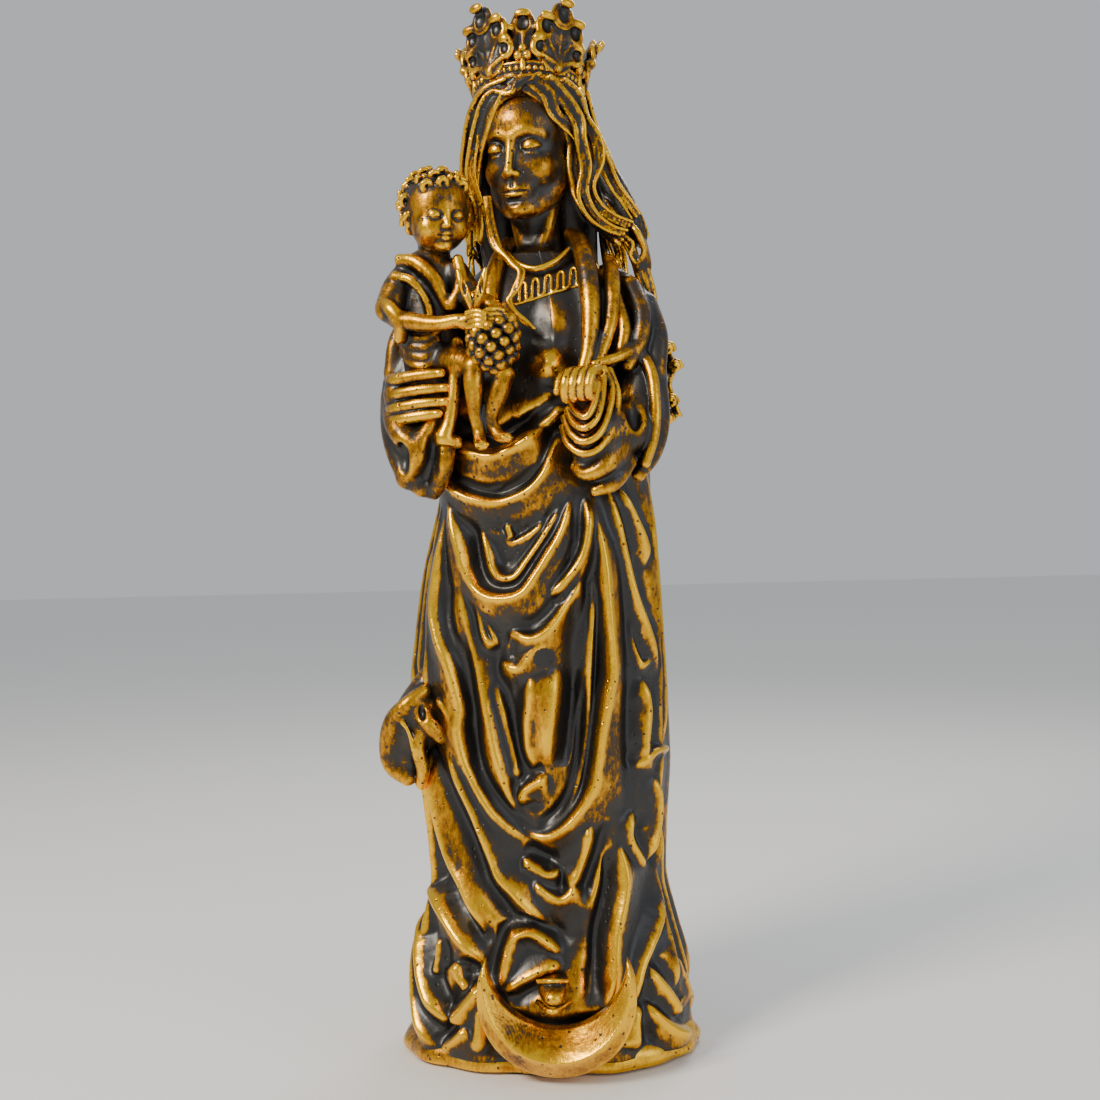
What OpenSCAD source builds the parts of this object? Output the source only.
// Madonna with child on a crescent moon: a hollow figure cast in two half shells, with the head,
// crown, child, grapes, hands, sleeves and moon cast apart, doweled on and bonded, on a plinth that is
// closed below by a board and a felt. The viewer stands at -Y, and +X is the viewer's right.

/* [Figure] */
// Height of the collar, where the neck sits, above the floor
collar_z = 452; // [380:1:520]
// Half width of the robe at the hem
hem_w = 73; // [60:1:90]
// Half width of the robe at the knees
knee_w = 67; // [54:1:80]
// Half width of the robe at the waist
waist_w = 57; // [46:1:70]
// Half width of the figure at the elbows
elbow_w = 60; // [48:1:72]
// Half width of the shoulders
shoulder_w = 51; // [42:1:62]
// Depth of the robe in front of the side seam, at the hem
hem_front = 54; // [44:1:66]
// Depth of the robe in front of the side seam, at the waist
waist_front = 44; // [36:1:54]
// Depth of the robe behind the side seam, at the hem
hem_back = 45; // [36:1:54]
// Depth of the figure behind the side seam, at the waist
waist_back = 36; // [28:1:44]
// Radius of the round collar opening's rim
collar_r = 22; // [20:0.5:26]
// Thickness of the cast wall
wall = 6; // [4:0.5:8]
// How far the folds stand out from the robe
fold_d = 6; // [3:0.5:8]

/* [Head and crown] */
// Height of the face and skull, from chin to the top of the head
head_h = 82; // [70:1:96]
// Width of the head with its hair
head_w = 66; // [56:1:78]
// Radius of the crown's band
crown_r = 31; // [27:0.5:36]
// Height of the crown's band
band_h = 9; // [6:0.5:12]
// Thickness of the crown's band and leaves
crown_wall = 4; // [3:0.5:6]
// Height of the crown's leaves above the band
leaf_h = 36; // [28:1:44]
// How far the leaf tips lean out from the band
leaf_lean = 11; // [6:1:16]
// Number of leaves round the crown
leaf_count = 5; // [4:1:7]
// Backward tilt of the crown, in degrees
crown_tilt = 9; // [0:1:14]

/* [Child and grapes] */
// Radius of the child's head
child_head_r = 18; // [15:0.5:21]
// Height of the child, from feet to the top of the head
child_h = 146; // [130:1:160]
// Radius of one grape
grape_r = 4.5; // [3.5:0.25:5.5]

/* [Moon] */
// Outer radius of the crescent
moon_r = 43; // [36:1:48]
// Height of the crescent's body at its lowest point
moon_body = 24; // [18:1:28]
// Thickness of the crescent, front to back
moon_t = 17; // [12:0.5:20]

/* [Plinth and fixings] */
// Height of the plinth, felt included
plinth_h = 15; // [14:1:26]
// How far the plinth stands out past the hem
plinth_lip = 4; // [2:0.5:8]
// Thickness of the felt
felt_t = 1.5; // [1:0.5:3]
// Thickness of the closing board
board_t = 4; // [3:0.5:5]
// Diameter of the steel armature rod
rod_d = 8; // [6:0.5:10]
// Diameter of the dowels that carry the child, the sleeves and the hands
dowel_d = 5; // [4:0.5:6]
// Length of those dowels
dowel_l = 22; // [18:1:30]
// Diameter of the small pins in the crown, the grapes and the moon
pin_d = 3; // [2:0.5:4]
// Room round every dowel, pin and rod in its hole
hole_gap = 0.15; // [0.05:0.05:0.3]
// Glue line between castings that are bonded together
bond = 0.3; // [0.2:0.1:0.6]

/* [Hidden] */

gilt = "goldenrod";
shadow_gilt = "darkgoldenrod";
steel = "silver";
beech = "burlywood";
cloth = "darkgreen";

facets = 14;              // facets round a rounded casting
front_steps = 32;         // facets of the front shell, from side seam to side seam
back_steps = 16;          // facets of the back shell, from side seam to side seam
level_steps = 80;         // facets of a shell from hem to collar; the inside has half as many
rim_h = 5;                // height of the rim on the plinth that the shells fit over
robe_h = collar_z - plinth_h;
spigot_r = collar_r - wall - bond;
spigot_l = 16;
rod_top = collar_z + 24;
screw_d = 3;
screw_head_d = 6;
screw_l = 10;

// Each level of the robe: its height from 0 at the hem to 1 at the collar, half width,
// sideways shift of its middle, depth in front and depth behind.
LEVELS = [
    [0.00, hem_w, 0, hem_front, hem_back],
    [0.17, hem_w - 14, 0, hem_front - 9, hem_back - 4],
    [0.41, knee_w, -1, waist_front + 1, waist_back + 4],
    [0.67, waist_w, 3, waist_front, waist_back + 1],
    [0.81, elbow_w, 4, waist_front - 2, waist_back],
    [0.92, shoulder_w, 4, waist_front - 7, waist_back - 3],
    [1.00, collar_r, 0, collar_r, collar_r],
];

// The apron's hanging folds: height of the lowest point and rise to the ends as shares of the robe's
// height, middle and half width as shares of the knees' half width, and how square the bend is.
APRON = [
    [0.750, 0.02, -0.30, 0.36, 2],
    [0.675, 0.07, -0.30, 0.50, 2],
    [0.555, 0.14, -0.26, 0.50, 1.6],
    [0.440, 0.10, -0.20, 0.34, 2],
    [0.240, 0.46, -0.07, 0.64, 4],
    [0.150, 0.12, 0.05, 0.55, 1.6],
    [0.060, 0.10, -0.05, 0.80, 1.6],
];

// The mantle's hanging edges in front: side distance at the foot and at the top as shares of the
// knees' half width, and the heights they run between as shares of the robe's height.
EDGES = [[-0.80, -0.66, 0.08, 0.70], [0.62, 0.56, 0.10, 0.74], [0.92, 0.76, 0.04, 0.72]];

// ---- Shape of the robe ----

function catmull(a, b, c, d, t) =
    (2 * b + (c - a) * t + (2 * a - 5 * b + 4 * c - d) * t * t
        + (3 * b - a - 3 * c + d) * t * t * t) / 2;

function level(k) = LEVELS[max(0, min(k, len(LEVELS) - 1))];

function span_at(t, k = 0) = k >= len(LEVELS) - 2 || LEVELS[k + 1][0] > t ? k : span_at(t, k + 1);

// Half width, shift, front depth and back depth of the robe at a height from 0 to 1.
function section(t) =
    let (k = span_at(t), u = (t - level(k)[0]) / (level(k + 1)[0] - level(k)[0]))
    [for (i = [1:4]) catmull(level(k - 1)[i], level(k)[i], level(k + 1)[i], level(k + 2)[i], u)];

function fade(t) = min(1, t / 0.05) * min(1, (1 - t) / 0.12);

function bump(d, w) = exp(-pow(d / w, 2));

// Distance from the line of a hanging fold at side distance x and height z above the hem.
function from_fold(f, x, z) =
    let (u = (x / knee_w - f[2]) / f[3], rise = f[1] * robe_h)
    (z - f[0] * robe_h - rise * pow(abs(u), f[4]))
        / sqrt(1 + pow(rise * f[4] * pow(abs(u), f[4] - 1) / (f[3] * knee_w), 2));

// How far a hanging edge stands out at side distance x and height z.
function edge(e, x, z) =
    let (t = z / robe_h, u = (t - e[2]) / (e[3] - e[2]))
    bump(x - knee_w * (e[0] + (e[1] - e[0]) * u), 6) * bump(u - 0.5, 0.62);

// How far the folds in front stand out, from 0 to 1.
function apron(x, z) = max(concat(
    [for (f = APRON) bump(from_fold(f, x, z), 7.5) * bump((x / knee_w - f[2]) / f[3], 1.25)],
    [for (e = EDGES) edge(e, x, z)]
));

function pleats(a, t) = pow(0.5 + 0.5 * cos(a * 9 + 50 * sin(t * 200)), 1.5);

// How far the folds stand out at angle a, 0 in front and 180 behind, and height t.
function drape(a, t) =
    let (s = section(t), front = max(0, min(1, (cos(a) - 0.2) / 0.3)))
    fold_d * fade(t) * (front * apron(s[1] + s[0] * sin(a), t * robe_h) + (1 - front) * pleats(a, t));

// A point of the robe at angle a and height t, moved outwards by out.
function skin(a, t, out) =
    let (s = section(t), depth = cos(a) > 0 ? s[2] : s[3])
    [s[1] + (s[0] + out) * sin(a), -(depth + out) * cos(a), plinth_h + t * robe_h];

function inset(t) = -wall - fold_d * fade(t) * 0.5;

function outer_grid(a0, steps) = [
    for (i = [0:level_steps], j = [0:steps])
    let (a = a0 + 180 * j / steps, t = i / level_steps)
    skin(a, t, drape(a, t))
];

function inner_grid(a0, steps) = [
    for (i = [0:level_steps / 2], j = [0:steps / 2])
    let (a = a0 + 360 * j / steps, t = 2 * i / level_steps)
    skin(a, t, inset(t))
];

function turned(faces, flip) = flip ? [for (f = faces) [f[2], f[1], f[0]]] : faces;

// A grid's triangles: rows and columns of cells from the point numbered first.
function grid(first, rows, columns, flip) = [
    for (i = [0:rows - 1], j = [0:columns - 1])
    let (p = first + i * (columns + 1) + j, q = p + columns + 1)
    each turned([[p, p + 1, q + 1], [p, q + 1, q]], flip)
];

// A strip's triangles between an edge of the outside, numbered from first in steps of step, and the
// edge of the inside across the wall, which has half as many points.
function strip(count, first, step, first_in, step_in, flip) = [
    for (k = [0:count / 2 - 1])
    let (p = first + 2 * k * step, q = first_in + k * step_in)
    each turned([[p, q, p + step], [p + step, q, q + step_in], [p + step, q + step_in,
        p + 2 * step]], flip)
];

// One half of the hollow figure, from the side seam at angle a0 to the other side seam.
module half_shell(a0, steps) {
    row = steps + 1;
    row_in = steps / 2 + 1;
    n = (level_steps + 1) * row;
    top = level_steps * row;
    top_in = n + level_steps / 2 * row_in;
    faces = concat(
        grid(0, level_steps, steps, true), grid(n, level_steps / 2, steps / 2, false),
        strip(steps, 0, 1, n, 1, true), strip(steps, top, 1, top_in, 1, false),
        strip(level_steps, 0, row, n, row_in, false),
        strip(level_steps, steps, row, n + steps / 2, row_in, true)
    );
    polyhedron(concat(outer_grid(a0, steps), inner_grid(a0, steps)), faces, convexity = 6);
}

// The angles of the facets' edges right round the figure.
function round_angles() = [
    for (j = [0:front_steps - 1]) -90 + 180 * j / front_steps,
    for (j = [0:back_steps - 1]) 90 + 180 * j / back_steps,
];

// The figure's outer form as one solid, grown by out: what is bonded on is cut to it.
module figure_form(out) {
    row = front_steps + back_steps;
    angles = round_angles();
    points = [
        for (i = [0:level_steps], a = angles)
        let (t = i / level_steps) skin(a, t, drape(a, t) + out)
    ];
    walls = [
        for (i = [0:level_steps - 1], j = [0:row - 1])
        let (p = i * row + j, q = i * row + (j + 1) % row)
        each [[p, p + row, q + row], [p, q + row, q]]
    ];
    ends = [
        [for (j = [0:row - 1]) j],
        [for (j = [row - 1:-1:0]) level_steps * row + j],
    ];
    polyhedron(points, concat(walls, ends), convexity = 6);
}

// ---- Shared shapes ----

module ball(p, r) {
    translate(p) sphere(r = r, $fn = facets);
}

// A rounded limb through a list of [point, radius].
module limb(path) {
    for (i = [0:len(path) - 2])
        hull() {
            ball(path[i][0], path[i][1]);
            ball(path[i + 1][0], path[i + 1][1]);
        }
}

// A straight dowel of diameter d and length l from point p, along direction v.
module dowel(p, v, d, l) {
    yaw = atan2(v[1], v[0]);
    pitch = acos(v[2] / norm(v));
    translate(p) rotate([0, pitch, yaw]) cylinder(d = d, h = l, $fn = 32);
}

module hole(p, v, d, l) {
    dowel(p - 0.5 * v / norm(v), v, d + 2 * hole_gap, l + 1);
}

// ---- Places ----

// Depth of the robe in front of the side seam at side distance x and height z.
function skin_depth(x, z) =
    let (s = section((z - plinth_h) / robe_h), u = min(0.95, abs(x - s[1]) / s[0]))
    s[2] * sqrt(1 - u * u);

function on_robe(x, z, out) = [x, -skin_depth(x, z) - out, z];

inward = [0, 1, 0];
pin_l = 14;

child_foot_z = collar_z - 100;
child_top_z = child_foot_z + child_h;
child_x = -54;
child_head = [child_x, -42, child_top_z - child_head_r];
child_shoulder_z = child_foot_z + 100;
hip_z = child_foot_z + 58;
child_dowel_at = [for (z = [hip_z - 26, hip_z + 4]) on_robe(-38, z, dowel_l / 2)];

grape_at = [-25, -64, child_foot_z + 60];
grape_way = [-1, 0.5, 0];
grape_pin_at = grape_at - [0, 0, 3];

right_sleeve_at = on_robe(-44, collar_z - 110, dowel_l / 2);
right_hand_at = [-68, -42, collar_z - 76];
right_hand_way = [0.3, 0.6, -0.4];

left_sleeve_at = on_robe(34, collar_z - 106, dowel_l / 2);
left_hand_at = [26, -62, collar_z - 76];
left_hand_way = [0.6, 0.8, -0.1];

crown_z = collar_z + 93;

moon_x = 9;
moon_z = felt_t + 2 + moon_r;
moon_back = -hem_front - max(fold_d, plinth_lip) - bond;
moon_pin_at = [for (s = [-1, 1]) [moon_x + 8 * s, moon_back - pin_l / 2, felt_t + 8]];

// ---- Plinth ----

function plinth_outline(out) = [
    for (a = [0:7.5:352.5])
    let (p = skin(a, 0, plinth_lip + out)) [p[0], p[1]]
];

module felt_pad() {
    color(cloth)
        linear_extrude(felt_t) polygon(plinth_outline(-3));
}

module base_board() {
    color(beech)
        difference() {
            translate([0, 0, felt_t]) linear_extrude(board_t) polygon(plinth_outline(-10 - bond));
            for (p = screw_places()) {
                translate([p[0], p[1], 0])
                    cylinder(d = screw_d + 2 * hole_gap, h = plinth_h, $fn = 24);
                translate([p[0], p[1], felt_t - 0.01])
                    cylinder(d1 = screw_head_d + 2 * hole_gap, d2 = screw_d + 2 * hole_gap,
                        h = (screw_head_d - screw_d) / 2 + 0.01, $fn = 24);
            }
        }
}

function screw_places() = [
    for (sx = [-1, 1], sy = [-1, 1]) [sx * (hem_w - 26), sy > 0 ? hem_back - 22 : 22 - hem_front]
];

module board_screws() {
    color(steel)
        for (p = screw_places())
            translate([p[0], p[1], felt_t]) {
                cylinder(d = screw_d, h = screw_l, $fn = 24);
                cylinder(d1 = screw_head_d, d2 = screw_d,
                    h = (screw_head_d - screw_d) / 2, $fn = 24);
            }
}

module plinth() {
    color(shadow_gilt)
        difference() {
            union() {
                translate([0, 0, felt_t])
                    linear_extrude(plinth_h - felt_t - 3) polygon(plinth_outline(0));
                translate([0, 0, plinth_h - 3]) linear_extrude(3) polygon(plinth_outline(-2));
                translate([0, 0, plinth_h]) linear_extrude(rim_h) polygon(rim_outline());
                translate([moon_x - moon_r / 2, moon_back + bond, felt_t])
                    cube([moon_r, hem_front / 2, plinth_h - felt_t - 3]);
            }
            translate([0, 0, felt_t - 1]) linear_extrude(board_t + 1) polygon(plinth_outline(-10));
            translate([0, 0, felt_t + board_t]) cylinder(d = rod_d + 2 * hole_gap,
                h = plinth_h + rim_h, $fn = 48);
            for (p = screw_places())
                translate([p[0], p[1], felt_t]) cylinder(d = screw_d, h = screw_l + 1, $fn = 24);
            for (p = moon_pin_at) hole(p, inward, pin_d, pin_l);
        }
}

function rim_outline() = [
    for (a = [0:7.5:352.5])
    let (p = skin(a, rim_h / robe_h, inset(rim_h / robe_h) - bond)) [p[0], p[1]]
];

module armature_rod() {
    color(steel)
        translate([0, 0, felt_t + board_t]) cylinder(d = rod_d, h = rod_top - felt_t - board_t,
            $fn = 48);
}

// ---- Robe ----

module front_shell() {
    color(gilt)
        difference() {
            half_shell(-90, front_steps);
            for (p = child_dowel_at) hole(p, inward, dowel_d, dowel_l);
            hole(right_sleeve_at, inward, dowel_d, dowel_l);
            hole(left_sleeve_at, inward, dowel_d, dowel_l);
        }
}

module back_shell() {
    color(gilt) half_shell(90, back_steps);
}

// The mantle's turned-back corner, hanging free beside the knee.
module mantle_corner() {
    z = plinth_h + 0.37 * robe_h;
    x = -knee_w;
    color(gilt)
        difference() {
            union() {
                hull() {
                    ball([x + 4, -12, z + 46], 5);
                    ball([x - 14, -18, z + 10], 6);
                    ball([x - 13, -12, z - 18], 6);
                    ball([x + 4, -8, z - 26], 5);
                }
                hull() {
                    ball([x - 6, -22, z + 28], 5);
                    ball([x + 14, -40, z + 6], 4);
                    ball([x + 6, -32, z - 22], 4);
                    ball([x - 4, -22, z], 8);
                }
            }
            figure_form(bond);
        }
}

// The long wavy lock behind the left arm.
module hair_lock() {
    x = shoulder_w;
    z = collar_z;
    color(gilt)
        difference() {
            limb([
                [[x - 12, -8, z + 18], 6], [[x + 2, -12, z - 6], 7], [[x + 8, -8, z - 32], 6],
                [[x + 14, -4, z - 60], 6], [[x + 20, 0, z - 84], 6], [[x + 23, 0, z - 96], 5],
                [[x + 17, 0, z - 105], 5], [[x + 20, 0, z - 116], 6], [[x + 15, 2, z - 128], 4],
            ]);
            figure_form(bond);
            head_form();
        }
}

// ---- Head and crown ----

module head_form() {
    z = collar_z;
    half = head_w / 2;
    top = z + 27 + head_h - half;
    limb([[[0, -1, z + 6], 18], [[-2, -3, z + 32], 17]]);
    hull() {
        ball([-3, -14, z + 44], 11);
        ball([-3, -8, z + 58], half - 8);
        ball([-2, 0, top], half - 3);
    }
    hull() {
        ball([-1, 8, top], half - 3);
        for (s = [-1, 1]) ball([s * 19 - 2, 14, z + 30], 16);
        for (s = [-1, 1]) ball([s * 23, 20, z + 2], 13);
    }
    for (s = [-1, 1])
        limb([
            [[s * 22 - 2, -6, z + 78], 12], [[s * 28, -4, z + 50], 11],
            [[s * 33, 0, z + 22], 11], [[s * 36, 8, z], 12],
        ]);
    hull() {
        for (s = [-1, 1]) ball([s * 22, 24, z - 4], 12);
        ball([0, 34, z - 80], 9);
    }
}

module head() {
    color(gilt)
        difference() {
            union() {
                difference() {
                    head_form();
                    figure_form(bond);
                }
                translate([0, 0, collar_z - spigot_l])
                    cylinder(r = spigot_r, h = spigot_l + 4, $fn = 48);
            }
            translate([0, 0, collar_z - spigot_l - 1])
                cylinder(d = rod_d + 2 * hole_gap, h = spigot_l + 2 + rod_top - collar_z, $fn = 48);
            crown_place() {
                cylinder(r = crown_r + leaf_lean + 9, h = band_h + leaf_h, $fn = 48);
                for (s = [-1, 1]) translate([s * (crown_r - 8), 0, -pin_l / 2])
                    cylinder(d = pin_d + 2 * hole_gap, h = pin_l, $fn = 24);
            }
        }
}

module crown_place() {
    translate([-2, 1, crown_z]) rotate([-crown_tilt, 0, 0]) children();
}

// A leaf's flat outline, standing on y = 0: a stem, a tip and two pairs of lobes round two hollows.
module leaf_outline() {
    w = crown_r * 0.36;
    difference() {
        union() {
            polygon([[-w, 0], [w, 0], [w * 0.5, leaf_h * 0.8], [-w * 0.5, leaf_h * 0.8]]);
            translate([0, leaf_h - 6]) circle(r = 6, $fn = 32);
            for (s = [-1, 1]) {
                translate([s * (w + 1), leaf_h * 0.38]) circle(r = 5.5, $fn = 32);
                translate([s * w * 0.85, leaf_h * 0.68]) circle(r = 5, $fn = 32);
            }
        }
        for (s = [-1, 1])
            translate([s * w * 0.5, leaf_h * 0.5]) circle(r = 2, $fn = 24);
    }
}

module crown_leaf() {
    lean = atan2(leaf_lean, leaf_h);
    translate([crown_r - 2, 0, band_h - 2])
        rotate([90, 0, 90]) rotate([lean, 0, 0])
        linear_extrude(crown_wall) leaf_outline();
}

module crown() {
    color(gilt)
        crown_place() {
            difference() {
                union() {
                    cylinder(r = crown_r + 1, h = band_h, $fn = 64);
                    cylinder(r = crown_r + 2.5, h = 3, $fn = 64);
                }
                translate([0, 0, crown_wall])
                    cylinder(r = crown_r - crown_wall, h = band_h, $fn = 64);
                for (s = [-1, 1]) translate([s * (crown_r - 8), 0, -1])
                    cylinder(d = pin_d + 2 * hole_gap, h = crown_wall + 2, $fn = 24);
            }
            for (k = [0:leaf_count - 1]) {
                rotate([0, 0, -90 + (k + 0.5) * 360 / leaf_count]) crown_leaf();
                rotate([0, 0, -90 + k * 360 / leaf_count])
                    translate([crown_r - 1, 0, band_h - 1]) cylinder(d1 = 7, d2 = 3, h = 9, $fn = 24);
            }
        }
}

module crown_pins() {
    color(steel)
        crown_place()
            for (s = [-1, 1]) translate([s * (crown_r - 8), 0, -pin_l / 2 + 1])
                cylinder(d = pin_d, h = pin_l / 2 - 1 + crown_wall, $fn = 24);
}

// ---- Child and grapes ----

module child_form() {
    x = child_x;
    y = -40;
    foot = child_foot_z;
    ball(child_head, child_head_r);
    limb([
        [child_head - [2, 0, child_head_r], 9], [[x - 6, y - 2, child_shoulder_z - 8], 17],
        [[x - 5, y - 3, hip_z + 8], 19], [[x - 3, y - 4, hip_z - 18], 17],
        [[x + 3, y - 8, foot + 14], 11], [[x + 5, y - 10, foot + 4], 12],
    ]);
    limb([
        [[x + 8, y - 2, child_shoulder_z - 10], 13], [[x + 12, y - 8, hip_z + 14], 14],
        [[x + 14, y - 10, hip_z - 2], 14],
    ]);
    limb([
        [[x - 14, y - 10, child_shoulder_z - 12], 10], [[x - 12, y - 18, hip_z + 20], 9],
        [[x + 6, y - 26, hip_z + 14], 7], [[grape_at[0] - 6, y - 30, grape_at[2] + 10], 6],
    ]);
    limb([
        [[x + 16, y - 16, hip_z - 8], 11], [[x + 21, y - 24, hip_z - 20], 9],
        [[x + 22, y - 24, foot + 10], 6], [[x + 23, y - 30, foot + 4], 5],
    ]);
    limb([
        [[x + 24, y - 12, hip_z - 8], 11], [[x + 37, y - 20, hip_z - 16], 9],
        [[x + 32, y - 18, foot + 22], 6], [[x + 38, y - 26, foot + 6], 5],
    ]);
}

module child() {
    color(gilt)
        difference() {
            child_form();
            figure_form(bond);
            for (p = child_dowel_at) hole(p, inward, dowel_d, dowel_l);
            hole(grape_pin_at, grape_way, pin_d, pin_l + 6);
            grape_room();
            right_hand_form();
        }
}

module child_dowels() {
    color(beech)
        for (p = child_dowel_at) dowel(p, inward, dowel_d, dowel_l);
}

// Rings of grapes round a core: height of each ring above the middle and its radius.
GRAPES = [[11, 6], [4, 10], [-4, 10], [-11, 7.5], [-18, 4]];

module grape_bunch() {
    color(gilt)
        difference() {
            union() {
                for (ring = GRAPES, k = [0:5])
                    let (a = k * 60 + ring[0] * 9)
                    translate(grape_at + [ring[1] * cos(a), ring[1] * sin(a), ring[0]])
                        sphere(r = grape_r, $fn = 10);
                for (core = [[7, 8], [-1, 9.5], [-10, 7.5]]) ball(grape_at + [0, 0, core[0]], core[1]);
            }
            hole(grape_pin_at, grape_way, pin_d, pin_l + 6);
        }
}

// The room the grapes take up in the child's hands.
module grape_room() {
    hull() {
        ball(grape_at + [0, 0, 7], 14.5);
        ball(grape_at + [0, 0, -6], 14);
        ball(grape_at + [0, 0, -18], 8);
    }
}

module grape_pin() {
    color(steel) dowel(grape_pin_at, grape_way, pin_d, pin_l + 5);
}

// ---- Sleeves and hands ----

module right_sleeve() {
    p = right_hand_at;
    color(gilt)
        difference() {
            union() {
                limb([
                    [p + [12, 16, 50], 14], [p + [2, 14, 6], 15], [p + [2, 12, -26], 16],
                    [p + [12, 4, -44], 13],
                ]);
                limb([[p + [12, 4, -44], 13], [p + [24, -4, -38], 11]]);
            }
            figure_form(bond);
            child_form();
            right_hand_form();
            hole(right_sleeve_at, inward, dowel_d, dowel_l);
            hole(p, right_hand_way, pin_d, pin_l + 6);
        }
}

module right_sleeve_dowel() {
    color(beech) dowel(right_sleeve_at, inward, dowel_d, dowel_l);
}

module right_hand_form() {
    p = right_hand_at;
    ball(p + [-2, 0, -2], 10);
    for (k = [0:3])
        limb([
            [p + [-4, -6, 8 - 6 * k], 4], [p + [4, -17, 8 - 6 * k], 3.4],
            [p + [22, -20, 9 - 6 * k], 3],
        ]);
}

module right_hand() {
    color(gilt)
        difference() {
            right_hand_form();
            figure_form(bond);
            hole(right_hand_at, right_hand_way, pin_d, pin_l + 6);
        }
}

module right_hand_pin() {
    color(steel) dowel(right_hand_at, right_hand_way, pin_d, pin_l + 5);
}

module left_sleeve() {
    p = left_hand_at;
    color(gilt)
        difference() {
            union() {
                limb([
                    [p + [28, 36, 34], 15], [p + [24, 22, 4], 14], [p + [14, 10, -20], 15],
                    [p + [12, 10, -40], 16],
                ]);
                limb([[p + [24, 22, 4], 14], [p + [28, 26, -24], 12], [p + [12, 10, -40], 16]]);
                for (k = [0:2])
                    limb([
                        [p + [-9 + k, 4, -18 - 6 * k], 3], [p + [2, -5 + k, -26 - 7 * k], 3],
                        [p + [14 - k, 2, -12 - 6 * k], 3],
                    ]);
            }
            figure_form(bond);
            left_hand_form();
            hole(left_sleeve_at, inward, dowel_d, dowel_l);
            hole(p, left_hand_way, pin_d, pin_l + 4);
        }
}

module left_sleeve_dowel() {
    color(beech) dowel(left_sleeve_at, inward, dowel_d, dowel_l);
}

module left_hand_form() {
    p = left_hand_at;
    limb([[p + [12, 10, 4], 8], [p, 8]]);
    for (k = [0:3])
        limb([
            [p + [-6 + 4 * k, -4, 5], 3.4], [p + [-10 + 4 * k, -9, -6], 3],
            [p + [-10 + 4 * k, -5, -14], 2.6],
        ]);
}

module left_hand() {
    color(gilt)
        difference() {
            left_hand_form();
            figure_form(bond);
            hole(left_hand_at, left_hand_way, pin_d, pin_l + 4);
        }
}

module left_hand_pin() {
    color(steel) dowel(left_hand_at, left_hand_way, pin_d, pin_l + 3);
}

// ---- Moon ----

module moon() {
    hollow_r = moon_r - moon_body / 2 + 4;
    color(gilt)
        difference() {
            translate([moon_x, moon_back, moon_z]) rotate([90, 0, 0])
                difference() {
                    cylinder(r1 = moon_r, r2 = moon_r - 4, h = moon_t, $fn = 96);
                    translate([0, moon_body - moon_r + hollow_r, -1])
                        cylinder(r1 = hollow_r - 5, r2 = hollow_r, h = moon_t + 2, $fn = 96);
                    translate([-moon_r, moon_r * 0.5, -1]) cube([moon_r * 2, moon_r, moon_t + 2]);
                }
            for (p = moon_pin_at) hole(p, inward, pin_d, pin_l);
        }
}

module moon_pins() {
    color(steel)
        for (p = moon_pin_at) dowel(p, inward, pin_d, pin_l);
}

// ---- Nodes ----

felt_pad();
base_board();
board_screws();
plinth();
armature_rod();
front_shell();
back_shell();
mantle_corner();
hair_lock();
head();
crown();
crown_pins();
child();
child_dowels();
grape_bunch();
grape_pin();
right_sleeve();
right_sleeve_dowel();
right_hand();
right_hand_pin();
left_sleeve();
left_sleeve_dowel();
left_hand();
left_hand_pin();
moon();
moon_pins();
